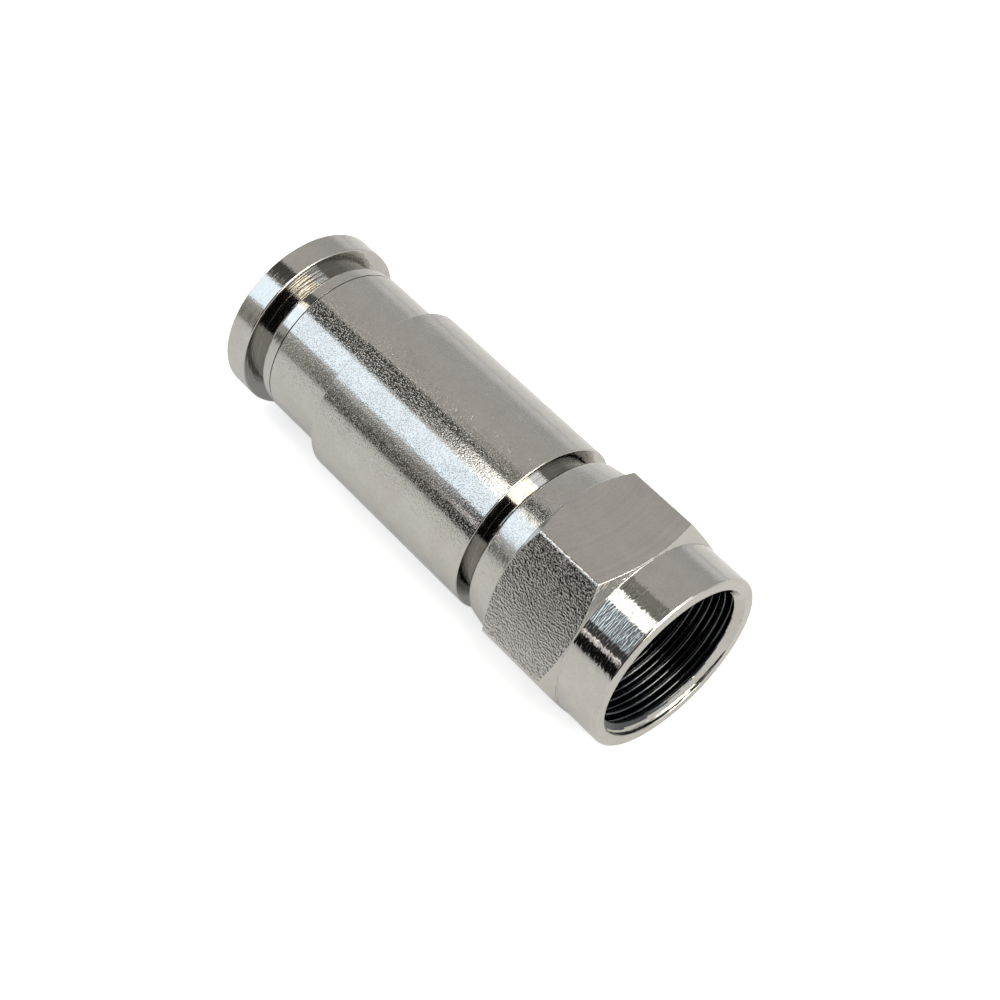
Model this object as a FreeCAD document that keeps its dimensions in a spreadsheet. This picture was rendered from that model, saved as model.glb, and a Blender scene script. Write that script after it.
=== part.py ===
import FreeCAD, Part
import math
import os
import Sketcher

# Compression F connector for a 75 ohm coaxial cable, millimetres.
# It lies on one flat of its nut, +Z up. +X runs along the axis and out of the nut's mouth.
# The origin is on the axis, in the plane where the nut's thread begins.
# Stations inside a piece are counted backwards from that piece's own front end.

# Each driving dimension is written once here and becomes an alias of the sheet.
DIMENSIONS = {
    # Coupling nut, outside
    "nut_length": 10.0,
    "across_flats": 11.11,
    "ring_radius": 5.47,
    "ring_length": 2.88,
    "front_chamfer_angle": 28.0,
    "rear_chamfer_angle": 37.0,
    "hex_length": 5.23,
    "tail_front_radius": 5.5,
    "tail_rear_radius": 5.15,
    "tail_round": 0.42,
    "nut_edge_break": 0.12,
    # Coupling nut, inside
    "mouth_radius": 4.81,
    "countersink_depth": 0.44,
    "thread_bore_radius": 4.37,
    "relief_radius": 4.85,
    "relief_length": 1.35,
    "web_bore_radius": 3.47,
    "web_length": 1.1,
    "tail_bore_radius": 4.4,
    "tail_bore_length": 1.65,
    # Inner post
    "post_flange_radius": 4.25,
    "post_flange_length": 1.0,
    "post_flange_break": 0.15,
    "post_bore_radius": 2.45,
    "post_bore_chamfer": 0.2,
    "post_tube_radius": 2.8,
    "post_tube_length": 8.8,
    "barb_radius": 3.05,
    "barb_rise": 0.15,
    "barb_length": 0.9,
    "barb_tip_radius": 2.6,
    # Barrel
    "tail_gap": 0.73,
    "barrel_length": 12.02,
    "barrel_radius": 5.29,
    "barrel_edge_break": 0.05,
    "press_length": 3.8,
    "squeeze_radius": 4.2,
    "squeeze_length": 1.2,
    "mouth_lead_in": 0.12,
    # Compression sleeve
    "sleeve_radius": 4.71,
    "sleeve_inserted": 3.34,
    "sleeve_exposed": 6.09,
    "band_length": 0.99,
    "band_rear_radius": 4.62,
    "band_edge_break": 0.28,
    "groove_length": 0.73,
    "groove_radius": 4.2,
    "flange_radius": 5.205,
    "flange_length": 1.53,
    "flange_edge_break": 0.06,
    "cable_bore_radius": 3.9,
    "cable_bore_chamfer": 0.4,
    "cable_bore_length": 3.85,
    "nose_bore_radius": 4.3,
    "nose_bore_depth": 1.2,
    "nose_chamfer": 0.2,
    # Grip ring
    "grip_head_length": 1.8,
    "grip_bore_radius": 3.75,
    "grip_wedge_length": 0.8,
    "grip_wedge_radius": 4.1,
    # Seals
    "nut_seal_section": 0.72,
    "nut_seal_inset": 0.27,
    "jacket_seal_section": 0.8,
    "seal_groove_slack": 0.16,
    # Clearances
    "end_play": 0.05,
    "spin_clearance": 0.07,
    "seal_clearance": 0.03,
    "slide_clearance": 0.04,
    "grip_clearance": 0.1,
    "seat_clearance": 0.01,
}

# A line's ends and a circle's centre are numbered upwards, and the sketch's axes downwards
START_POINT, END_POINT, CENTRE_POINT = range(1, 4)
HORIZONTAL_AXIS = -START_POINT

# Two edges closer than this are the same edge
EDGE_MATCH = 0.001

doc = FreeCAD.newDocument("f_connector")


# Sheet
sheet = doc.addObject("Spreadsheet::Sheet", "dims")
for row, (alias, size) in enumerate(DIMENSIONS.items(), start=1):
    sheet.set(f"A{row}", alias)
    sheet.set(f"B{row}", str(size))
    sheet.setAlias(f"B{row}", alias)
doc.recompute()


# Lengths and radii that several pieces share
WEB_REAR = "(dims.nut_length - dims.tail_bore_length)"
WEB_FRONT = f"({WEB_REAR} - dims.web_length)"
THREAD_END = f"({WEB_FRONT} - dims.relief_length)"
HEX_END = "(dims.ring_length + dims.hex_length)"
CORNER_RADIUS = "(dims.across_flats / 2 / cos(30 deg))"
OUTSIDE_STOCK = f"({CORNER_RADIUS} + 1)"
TAIL_TAPER = f"atan((dims.tail_front_radius - dims.tail_rear_radius) / (dims.nut_length - {HEX_END}))"
TAIL_ARC_CENTRE = (f"(dims.tail_rear_radius + dims.tail_round * tan({TAIL_TAPER})"
                   f" - dims.tail_round / cos({TAIL_TAPER}))")
SHOULDER_RADIUS = "(dims.web_bore_radius - dims.spin_clearance)"
SHOULDER_LENGTH = "(dims.end_play + dims.web_length + dims.end_play + dims.press_length)"
NECK_RADIUS = "(dims.tail_bore_radius - dims.spin_clearance)"
NUT_SEAL_FLOOR = "(dims.tail_bore_radius - dims.seal_clearance - dims.nut_seal_section)"
NUT_SEAL_GROOVE = "(dims.nut_seal_section + dims.seal_groove_slack)"
NECK_IN_NUT = "(dims.tail_bore_length - dims.end_play)"
NECK_LENGTH = f"({NECK_IN_NUT} + dims.tail_gap)"
NUT_GROOVE_REAR = f"({NECK_IN_NUT} - dims.nut_seal_inset)"
NUT_GROOVE_FRONT = f"({NUT_GROOVE_REAR} - {NUT_SEAL_GROOVE})"
BARREL_TOTAL = f"({NECK_LENGTH} + dims.barrel_length)"
BARREL_BORE = "(dims.sleeve_radius + dims.slide_clearance)"
FLANGE_FRONT = "(dims.sleeve_inserted + dims.sleeve_exposed)"
SLEEVE_TOTAL = f"({FLANGE_FRONT} + dims.flange_length)"
JACKET_SEAL_GROOVE = "(dims.jacket_seal_section + dims.seal_groove_slack)"
JACKET_GROOVE_REAR = f"({SLEEVE_TOTAL} - dims.cable_bore_chamfer - dims.cable_bore_length)"
JACKET_GROOVE_FRONT = f"({JACKET_GROOVE_REAR} - {JACKET_SEAL_GROOVE})"
JACKET_GROOVE_RADIUS = "(dims.cable_bore_radius + dims.jacket_seal_section / 2)"

# Places along X of each piece's front end
NUT_PLACE = "dims.countersink_depth"
POST_PLACE = f"(dims.countersink_depth - {WEB_FRONT} + dims.end_play + dims.post_flange_length)"
BARREL_PLACE = f"(dims.countersink_depth - {WEB_REAR} - dims.end_play)"
SLEEVE_PLACE = f"({BARREL_PLACE} - {BARREL_TOTAL} + dims.sleeve_inserted)"
GRIP_PLACE = f"({SLEEVE_PLACE} + dims.grip_head_length)"
NUT_SEAL_PLACE = f"({BARREL_PLACE} - {NUT_GROOVE_FRONT} - dims.seal_groove_slack / 2)"
JACKET_SEAL_PLACE = f"({SLEEVE_PLACE} - {JACKET_GROOVE_FRONT} - dims.seal_groove_slack / 2)"


def number(expression):
    """The value of an expression, used to draw a sketch near its solved place."""
    return float(sheet.evalExpression(expression))


def new_piece(label, place):
    """An empty body whose front end is set at its place along the axis."""
    body = doc.addObject("PartDesign::Body", label)
    body.Label = label
    body.setExpression("Placement.Base.x", place)
    return body


def new_sketch(body, name, plane_role):
    sketch = body.newObject("Sketcher::SketchObject", name)
    plane = [item for item in body.Origin.OriginFeatures if item.Role == plane_role][0]
    sketch.AttachmentSupport = (plane, [""])
    sketch.MapMode = "FlatFace"
    return sketch


def pin(sketch, kind, line, expression):
    """Ties one coordinate of a line's start to the sheet."""
    value = number(expression)
    index = sketch.addConstraint(Sketcher.Constraint(kind, line, START_POINT, value))
    sketch.setExpression(f"Constraints[{index}]", expression)


def short_arc(start, end, radius):
    """The arc between two points that has its centre on the left of the way between them."""
    chord = end - start
    left = FreeCAD.Vector(-chord.y, chord.x, 0).normalize()
    centre = (start + end) / 2 + left * math.sqrt(radius ** 2 - (chord.Length / 2) ** 2)
    angles = [math.atan2(spot.y - centre.y, spot.x - centre.x) for spot in (start, end)]
    return Part.ArcOfCircle(Part.Circle(centre, FreeCAD.Vector(0, 0, 1), radius), *angles)


def turned_outline(body, name, corners):
    """A closed half section. A corner is its station behind the front end and its radius.

    A third value in a corner is the bend of the arc from it to the next one.
    """
    sketch = new_sketch(body, name, "XZ_Plane")
    spots = [FreeCAD.Vector(-number(corner[0]), number(corner[1]), 0) for corner in corners]
    for corner, start, end in zip(corners, spots, spots[1:] + spots[:1]):
        if len(corner) == 3:
            sketch.addGeometry(short_arc(start, end, number(corner[2])))
        else:
            sketch.addGeometry(Part.LineSegment(start, end))
    for line, (station, radius, *bend) in enumerate(corners):
        following = (line + 1) % len(corners)
        sketch.addConstraint(Sketcher.Constraint("Coincident", line, END_POINT, following, START_POINT))
        pin(sketch, "DistanceX", line, f"-({station})")
        pin(sketch, "DistanceY", line, radius)
        for size in bend:
            index = sketch.addConstraint(Sketcher.Constraint("Radius", line, number(size)))
            sketch.setExpression(f"Constraints[{index}]", size)
    return sketch


def turn(body, kind, name, corners):
    """Turns an outline about the axis, as a Revolution that adds or a Groove that cuts."""
    sketch = turned_outline(body, name + "_outline", corners)
    feature = body.newObject("PartDesign::" + kind, name)
    feature.Profile = sketch
    feature.ReferenceAxis = (sketch, ["H_Axis"])
    feature.Angle = 360
    doc.recompute()
    return feature


def hexagon(body, name, radius):
    """A regular hexagon with two corners level, so that a flat faces up and another down."""
    sketch = new_sketch(body, name, "YZ_Plane")
    size = number(radius)
    spots = []
    for corner in range(6):
        turn_to_corner = FreeCAD.Rotation(FreeCAD.Vector(0, 0, 1), 60 * corner)
        spots.append(turn_to_corner.multVec(FreeCAD.Vector(size, 0, 0)))
    for start, end in zip(spots, spots[1:] + spots[:1]):
        sketch.addGeometry(Part.LineSegment(start, end))
    centre = FreeCAD.Vector(0, 0, 0)
    circle = sketch.addGeometry(Part.Circle(centre, FreeCAD.Vector(0, 0, 1), size), True)
    sketch.addConstraint(Sketcher.Constraint("Coincident", circle, CENTRE_POINT,
                                             HORIZONTAL_AXIS, START_POINT))
    for side in range(6):
        following = (side + 1) % 6
        sketch.addConstraint(Sketcher.Constraint("Coincident", side, END_POINT, following, START_POINT))
        sketch.addConstraint(Sketcher.Constraint("PointOnObject", side, START_POINT, circle))
    for side in range(1, 6):
        sketch.addConstraint(Sketcher.Constraint("Equal", 0, side))
    sketch.addConstraint(Sketcher.Constraint("PointOnObject", 0, START_POINT, HORIZONTAL_AXIS))
    index = sketch.addConstraint(Sketcher.Constraint("Radius", circle, size))
    sketch.setExpression(f"Constraints[{index}]", radius)
    return sketch


def round_edges(feature, station, radius):
    """Names of the round edges at one station and radius."""
    names = []
    for index, edge in enumerate(feature.Shape.Edges, start=1):
        curve = edge.Curve
        if curve.TypeId != "Part::GeomCircle":
            continue
        same_place = abs(curve.Center.x + number(station)) < EDGE_MATCH
        if same_place and abs(curve.Radius - number(radius)) < EDGE_MATCH:
            names.append(f"Edge{index}")
    return names


def bevel(body, name, base, station, radius, size):
    """A Chamfer on the round edge at one station and radius."""
    feature = body.newObject("PartDesign::Chamfer", name)
    feature.Base = (base, round_edges(base, station, radius))
    feature.setExpression("Size", size)
    doc.recompute()
    return feature


def make_seal(label, place, outer_radius, section):
    """A rubber ring whose section is an octagon, as wide and as high as the round cord."""
    seal = new_piece(label, place)
    middle = f"({section} / 2)"
    corner = f"({middle} * tan(22.5 deg))"
    mean = f"({outer_radius} - {middle})"
    turn(seal, "Revolution", label + "_body", [
        ("0", f"{mean} - {corner}"),
        (f"{middle} - {corner}", f"{mean} - {middle}"),
        (f"{middle} + {corner}", f"{mean} - {middle}"),
        (section, f"{mean} - {corner}"),
        (section, f"{mean} + {corner}"),
        (f"{middle} + {corner}", f"{mean} + {middle}"),
        (f"{middle} - {corner}", f"{mean} + {middle}"),
        ("0", f"{mean} + {corner}"),
    ])
    return seal


# Coupling nut: hexagonal bar, turned round at both ends and bored from both ends
def make_coupling_nut():
    nut = new_piece("coupling_nut", NUT_PLACE)
    bar = nut.newObject("PartDesign::Pad", "hexagonal_bar")
    bar.Profile = hexagon(nut, "bar_section", CORNER_RADIUS)
    bar.setExpression("Length", "dims.nut_length")
    bar.Reversed = True
    doc.recompute()

    front_rise = f"({OUTSIDE_STOCK} - dims.ring_radius)"
    turn(nut, "Groove", "front_ring", [
        ("0", "dims.ring_radius"),
        ("dims.ring_length", "dims.ring_radius"),
        (f"dims.ring_length + {front_rise} * tan(dims.front_chamfer_angle * 1 deg)", OUTSIDE_STOCK),
        ("0", OUTSIDE_STOCK),
    ])
    rear_rise = f"({OUTSIDE_STOCK} - dims.tail_front_radius)"
    # The arc runs smoothly from the taper into the rear face
    arc_start = f"(dims.nut_length - dims.tail_round * (1 - sin({TAIL_TAPER})))"
    arc_start_radius = f"({TAIL_ARC_CENTRE} + dims.tail_round * cos({TAIL_TAPER}))"
    tail = turn(nut, "Groove", "tail", [
        (HEX_END, "dims.tail_front_radius"),
        (arc_start, arc_start_radius, "dims.tail_round"),
        ("dims.nut_length", TAIL_ARC_CENTRE),
        ("dims.nut_length", OUTSIDE_STOCK),
        (f"{HEX_END} - {rear_rise} * tan(dims.rear_chamfer_angle * 1 deg)", OUTSIDE_STOCK),
    ])
    bevel(nut, "face_edge", tail, "0", "dims.ring_radius", "dims.nut_edge_break")

    turn(nut, "Groove", "stepped_bore", [
        ("0", "0"),
        ("0", "dims.mouth_radius"),
        ("dims.countersink_depth", "dims.thread_bore_radius"),
        (THREAD_END, "dims.thread_bore_radius"),
        (THREAD_END, "dims.relief_radius"),
        (WEB_FRONT, "dims.relief_radius"),
        (WEB_FRONT, "dims.web_bore_radius"),
        (WEB_REAR, "dims.web_bore_radius"),
        (WEB_REAR, "dims.tail_bore_radius"),
        ("dims.nut_length", "dims.tail_bore_radius"),
        ("dims.nut_length", "0"),
    ])
    return nut


# Inner post: flange that the nut turns behind, pressed shoulder, tube and barb
def make_inner_post():
    post = new_piece("inner_post", POST_PLACE)
    flange_end = "dims.post_flange_length"
    shoulder_end = f"({flange_end} + {SHOULDER_LENGTH})"
    tube_end = f"({shoulder_end} + dims.post_tube_length)"
    turn(post, "Revolution", "post_body", [
        ("0", "dims.post_bore_radius + dims.post_bore_chamfer"),
        ("0", "dims.post_flange_radius - dims.post_flange_break"),
        ("dims.post_flange_break", "dims.post_flange_radius"),
        (flange_end, "dims.post_flange_radius"),
        (flange_end, SHOULDER_RADIUS),
        (shoulder_end, SHOULDER_RADIUS),
        (shoulder_end, "dims.post_tube_radius"),
        (tube_end, "dims.post_tube_radius"),
        (f"{tube_end} + dims.barb_rise", "dims.barb_radius"),
        (f"{tube_end} + dims.barb_rise + dims.barb_length", "dims.barb_tip_radius"),
        (f"{tube_end} + dims.barb_rise + dims.barb_length", "dims.post_bore_radius"),
        ("dims.post_bore_chamfer", "dims.post_bore_radius"),
    ])
    return post


# Barrel: neck with the seal's groove, closed front, and the bore that takes the sleeve
def make_barrel():
    barrel = new_piece("barrel", BARREL_PLACE)
    press_bore = f"({SHOULDER_RADIUS} + dims.seat_clearance)"
    squeeze_end = "(dims.press_length + dims.squeeze_length)"
    body = turn(barrel, "Revolution", "barrel_body", [
        ("0", press_bore),
        ("0", NECK_RADIUS),
        (NECK_LENGTH, NECK_RADIUS),
        (NECK_LENGTH, "dims.barrel_radius"),
        (BARREL_TOTAL, "dims.barrel_radius"),
        (BARREL_TOTAL, BARREL_BORE),
        (squeeze_end, BARREL_BORE),
        ("dims.press_length", "dims.squeeze_radius"),
        ("dims.press_length", press_bore),
    ])
    groove = turn(barrel, "Groove", "seal_groove", [
        (NUT_GROOVE_FRONT, NUT_SEAL_FLOOR),
        (NUT_GROOVE_REAR, NUT_SEAL_FLOOR),
        (NUT_GROOVE_REAR, "dims.barrel_radius"),
        (NUT_GROOVE_FRONT, "dims.barrel_radius"),
    ])
    front = bevel(barrel, "front_edge", groove, NECK_LENGTH,
                  "dims.barrel_radius", "dims.barrel_edge_break")
    rear = bevel(barrel, "rear_edge", front, BARREL_TOTAL,
                 "dims.barrel_radius", "dims.barrel_edge_break")
    bevel(barrel, "lead_in", rear, BARREL_TOTAL, BARREL_BORE, "dims.mouth_lead_in")
    return barrel


# Compression sleeve: nose in the barrel, bevelled band, groove, rear flange and cable bore
def make_compression_sleeve():
    sleeve = new_piece("compression_sleeve", SLEEVE_PLACE)
    band_rear = f"({FLANGE_FRONT} - dims.groove_length)"
    body = turn(sleeve, "Revolution", "sleeve_body", [
        ("0", "dims.nose_bore_radius"),
        ("0", "dims.sleeve_radius"),
        (f"{band_rear} - dims.band_length", "dims.sleeve_radius"),
        (band_rear, "dims.band_rear_radius"),
        (band_rear, "dims.groove_radius"),
        (FLANGE_FRONT, "dims.groove_radius"),
        (FLANGE_FRONT, "dims.flange_radius"),
        (SLEEVE_TOTAL, "dims.flange_radius"),
        (SLEEVE_TOTAL, "dims.cable_bore_radius"),
        ("dims.nose_bore_depth", "dims.cable_bore_radius"),
        ("dims.nose_bore_depth", "dims.nose_bore_radius"),
    ])
    groove = turn(sleeve, "Groove", "jacket_groove", [
        (JACKET_GROOVE_FRONT, "dims.post_bore_radius"),
        (JACKET_GROOVE_FRONT, JACKET_GROOVE_RADIUS),
        (JACKET_GROOVE_REAR, JACKET_GROOVE_RADIUS),
        (JACKET_GROOVE_REAR, "dims.post_bore_radius"),
    ])
    band = bevel(sleeve, "band_rear_edge", groove, band_rear,
                 "dims.band_rear_radius", "dims.band_edge_break")
    nose = bevel(sleeve, "nose_edge", band, "0", "dims.sleeve_radius", "dims.nose_chamfer")
    front = bevel(sleeve, "flange_front_edge", nose, FLANGE_FRONT,
                  "dims.flange_radius", "dims.flange_edge_break")
    rear = bevel(sleeve, "flange_rear_edge", front, SLEEVE_TOTAL,
                 "dims.flange_radius", "dims.flange_edge_break")
    bevel(sleeve, "cable_mouth", rear, SLEEVE_TOTAL,
          "dims.cable_bore_radius", "dims.cable_bore_chamfer")
    return sleeve


# Grip ring: plastic wedge ahead of the sleeve, its tongue held in the sleeve's nose
def make_grip_ring():
    grip = new_piece("grip_ring", GRIP_PLACE)
    head_radius = f"({BARREL_BORE} - dims.grip_clearance)"
    tongue_radius = "(dims.nose_bore_radius - dims.seat_clearance)"
    tongue_end = "(dims.grip_head_length + dims.nose_bore_depth - dims.seat_clearance)"
    turn(grip, "Revolution", "grip_body", [
        ("0", "dims.grip_bore_radius"),
        ("0", "dims.grip_wedge_radius"),
        ("dims.grip_wedge_length", head_radius),
        ("dims.grip_head_length", head_radius),
        ("dims.grip_head_length", tongue_radius),
        (tongue_end, tongue_radius),
        (tongue_end, "dims.grip_bore_radius"),
    ])
    return grip


pieces = [
    make_coupling_nut(),
    make_inner_post(),
    make_barrel(),
    make_compression_sleeve(),
    make_grip_ring(),
    make_seal("nut_seal", NUT_SEAL_PLACE,
              "(dims.tail_bore_radius - dims.seal_clearance)", "dims.nut_seal_section"),
    make_seal("jacket_seal", JACKET_SEAL_PLACE, JACKET_GROOVE_RADIUS, "dims.jacket_seal_section"),
]
doc.recompute()

# Nothing is written unless every feature worked and every cut took material away
for item in doc.Objects:
    if "Invalid" in item.State or "Error" in item.State:
        raise RuntimeError(f"{item.Name} failed: {item.State}")
    if item.TypeId == "PartDesign::Groove":
        if item.Shape.Volume >= item.BaseFeature.Shape.Volume:
            raise RuntimeError(f"{item.Name} cuts nothing")
for piece in pieces:
    if piece.Shape.isNull() or not piece.Shape.isValid():
        raise RuntimeError(f"{piece.Label} has no valid solid")
    if len(piece.Shape.Solids) != 1:
        raise RuntimeError(f"{piece.Label} is not one solid")

os.makedirs("parts", exist_ok=True)
for piece in pieces:
    piece.Shape.exportStep(f"parts/{piece.Label}.step")
    box = piece.Shape.BoundBox
    print(f"{piece.Label}: {box.XMin:.3f} to {box.XMax:.3f} mm, {piece.Shape.Volume:.2f} mm3")
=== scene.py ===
import math

import bmesh
import bpy
import numpy as np
from mathutils import Matrix, Vector


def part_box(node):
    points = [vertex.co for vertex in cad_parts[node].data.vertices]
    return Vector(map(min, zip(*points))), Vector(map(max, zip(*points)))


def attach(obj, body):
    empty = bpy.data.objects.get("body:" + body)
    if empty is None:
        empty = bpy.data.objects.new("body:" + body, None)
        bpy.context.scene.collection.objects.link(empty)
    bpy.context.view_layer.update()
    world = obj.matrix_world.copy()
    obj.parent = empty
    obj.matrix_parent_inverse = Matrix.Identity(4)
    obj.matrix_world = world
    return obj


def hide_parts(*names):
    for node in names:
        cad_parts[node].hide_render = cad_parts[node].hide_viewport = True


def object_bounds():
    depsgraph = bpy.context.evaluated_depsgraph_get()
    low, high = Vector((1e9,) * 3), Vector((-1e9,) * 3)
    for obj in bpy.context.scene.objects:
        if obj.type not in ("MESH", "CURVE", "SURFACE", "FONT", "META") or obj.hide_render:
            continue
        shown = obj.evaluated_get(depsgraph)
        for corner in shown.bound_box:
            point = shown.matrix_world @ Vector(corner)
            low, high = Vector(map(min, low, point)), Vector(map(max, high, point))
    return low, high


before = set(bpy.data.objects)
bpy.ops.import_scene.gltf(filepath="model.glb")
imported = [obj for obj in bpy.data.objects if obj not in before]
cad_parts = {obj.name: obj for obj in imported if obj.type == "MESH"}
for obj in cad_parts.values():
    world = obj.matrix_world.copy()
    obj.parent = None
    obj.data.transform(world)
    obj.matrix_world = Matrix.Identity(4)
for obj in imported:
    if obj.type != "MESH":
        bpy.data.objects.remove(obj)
CAD_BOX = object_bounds()

MM = 0.001
PER_MM = 1000
DEGREE = math.pi / 180

# Camera at the photograph's viewing angle
CAMERA_PLACE = Vector((36.122, -53.083, 85.430)) * MM
CAMERA_TURN = Vector((39.91, -5.292, 49.033)) * DEGREE
CAMERA_LENS = 76.67
CAMERA_SENSOR = 36
CAMERA_NEAR = 0.001
CAMERA_FAR = 20

# Nut, outside
ACROSS_FLATS = 11.11 * MM
HEX_SIDES = 6
HEX_SECTOR = 360 * DEGREE / HEX_SIDES
HALF_SECTOR = HEX_SECTOR / 2
HEX_LENGTH = 5.23 * MM
RING_RADIUS = 5.47 * MM
RING_LENGTH = 2.88 * MM
FRONT_CHAMFER_ANGLE = 28 * DEGREE
REAR_CHAMFER_ANGLE = 37 * DEGREE
TAIL_FRONT_RADIUS = 5.5 * MM
TAIL_REAR_RADIUS = 5.15 * MM
TAIL_ROUND = 0.42 * MM
RIDGE_ROUND = 0.27 * MM
FLAT_CROWN = 0.045 * MM
RIM_ROUND = 0.18 * MM
RIDGE_COLUMNS = 7
FLAT_COLUMNS = 38

# Nut, inside
MOUTH_RADIUS = 4.81 * MM
COUNTERSINK_DEPTH = 0.44 * MM
LIP_DEPTH = 0.03 * MM
THREAD_BORE_RADIUS = 4.37 * MM
THREAD_ROOT_RADIUS = 4.76 * MM
THREAD_LENGTH = 5.46 * MM
THREAD_PITCH = 25.4 / 32 * MM
THREAD_EXIT = 335 * DEGREE
RELIEF_RADIUS = 4.85 * MM
RELIEF_LENGTH = 1.35 * MM
WEB_BORE_RADIUS = 3.47 * MM
WEB_LENGTH = 1.1 * MM
TAIL_BORE_RADIUS = 4.4 * MM

# Thread form. ROOT_END is a share of the pitch, and FLANK_ROWS are shares of the flank. CREST_ROWS are
# pairs: a share of the way to the crest's middle, and one of the thread's depth
FLANK_ANGLE = 30 * DEGREE
ROOT_END = 0.13
FLANK_ROWS = (0.22, 0.44, 0.66, 0.8)
CREST_ROWS = ((0.2, 0.895), (0.45, 0.96), (0.72, 0.99))

# Inner post
POST_FLANGE_RADIUS = 4.25 * MM
POST_FLANGE_LENGTH = 1.0 * MM
POST_FLANGE_ROUND = 0.15 * MM
POST_MOUTH_ROUND = 0.2 * MM
POST_BORE_RADIUS = 2.45 * MM
POST_SHOULDER_RADIUS = 3.4 * MM
POST_SHOULDER_LENGTH = 5.0 * MM
POST_TUBE_RADIUS = 2.8 * MM
POST_TUBE_LENGTH = 8.8 * MM
BARB_RADIUS = 3.05 * MM
BARB_RISE = 0.15 * MM
BARB_TIP_RADIUS = 2.6 * MM

# Barrel
BARREL_LENGTH = 12.02 * MM
BARREL_RADIUS = 5.29 * MM
BARREL_BORE = 4.75 * MM
BARREL_MOUTH_ROUND = 0.12 * MM
NECK_RADIUS = 4.33 * MM
PRESS_BORE = 3.41 * MM
PRESS_LENGTH = 3.8 * MM
SQUEEZE_RADIUS = 4.2 * MM
SQUEEZE_LENGTH = 1.2 * MM
SEAL_GROOVE_RADIUS = 3.65 * MM
SEAL_GROOVE_SLACK = 0.08 * MM

# Compression sleeve
SLEEVE_RADIUS = 4.71 * MM
BAND_LENGTH = 0.99 * MM
BAND_REAR_RADIUS = 4.62 * MM
BAND_ROUND = 0.4 * MM
GROOVE_LENGTH = 0.73 * MM
GROOVE_RADIUS = 4.2 * MM
FLANGE_RADIUS = 5.205 * MM
FLANGE_LENGTH = 1.53 * MM
CABLE_BORE_RADIUS = 3.9 * MM
CABLE_BORE_CHAMFER = 0.4 * MM
NOSE_BORE_RADIUS = 4.3 * MM
NOSE_BORE_DEPTH = 1.2 * MM
NOSE_CHAMFER = 0.2 * MM
TOOL_MARK_DEPTH = 0.035 * MM
TOOL_MARK_RISE = 0.004 * MM
TOOL_MARK_WIDTH = 0.066 * MM

# Grip ring
GRIP_HEAD_LENGTH = 1.8 * MM
GRIP_BORE_RADIUS = 3.75 * MM
GRIP_WEDGE_LENGTH = 0.8 * MM
GRIP_WEDGE_RADIUS = 4.1 * MM
GRIP_HEAD_RADIUS = 4.65 * MM
GRIP_TONGUE_RADIUS = 4.29 * MM

# Edges
SHARP = 0.012 * MM
CRISP = 0.05 * MM
SOFT = 0.09 * MM

# Meshes. ROUNDING_ROOM is the share of a side that the roundings at its ends may take together
COLUMNS = 240
CORD_SIDES = 24
ARC_STEPS = 5
ARC_ROWS = ARC_STEPS + 1
ROUNDING_ROOM = 0.98
WELD_DISTANCE = 2e-8
TINY = 1e-20


# Outlines: a corner is (x, radius, rounding), and an outline is a closed list of corners
def rounded(corners):
    """Points of an outline. A corner with a rounding becomes ARC_ROWS points, and another stays one."""
    spots = np.array([corner[:2] for corner in corners])
    sides = np.roll(spots, -1, axis=0) - spots
    lengths = np.linalg.norm(sides, axis=1)
    sides = sides / lengths[:, None]
    folds = np.clip(-np.sum(np.roll(sides, 1, axis=0) * sides, axis=1), -1, 1)
    halves = np.arccos(folds) / 2
    roundings = np.array([corner[2] for corner in corners])
    reaches = roundings / np.tan(halves)
    room = np.minimum(1, ROUNDING_ROOM * lengths / np.maximum(reaches + np.roll(reaches, -1), TINY))
    reaches = reaches * np.minimum(room, np.roll(room, 1))
    points = []
    for index, here in enumerate(spots):
        if roundings[index] == 0:
            points.append(here)
            continue
        before = -sides[index - 1]
        after = sides[index]
        half = halves[index]
        reach = reaches[index]
        middle = before + after
        middle = middle / np.linalg.norm(middle)
        centre = here + middle * (reach * math.tan(half)) / math.sin(half)
        first = here + before * reach - centre
        last = here + after * reach - centre
        sweep = math.pi - 2 * half
        for step in range(ARC_ROWS):
            share = step / ARC_STEPS
            blend = first * math.sin((1 - share) * sweep) + last * math.sin(share * sweep)
            points.append(centre + blend / math.sin(sweep))
    return np.array(points)


def turned_points(profiles, angles):
    """Profiles set at the angles round the axis: an array of rows, columns, xyz.

    profiles is an array of rows, columns, (x, radius). One column serves for every angle.
    """
    x, radius = profiles[..., 0], profiles[..., 1]
    x = np.broadcast_to(x, (len(profiles), len(angles)))
    return np.stack([x, radius * np.cos(angles), radius * np.sin(angles)], axis=2)


def ring_faces(rows, columns, wrap):
    """Quads of a grid closed both ways. wrap gives the row that each row meets past the last column."""
    faces = []
    for row in range(rows):
        following = (row + 1) % rows
        for column in range(columns):
            side = column + 1
            near, far = row, following
            if side == columns:
                side = 0
                near, far = wrap[row], wrap[following]
            faces.append((row * columns + column, near * columns + side,
                          far * columns + side, following * columns + column))
    return faces


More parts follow.
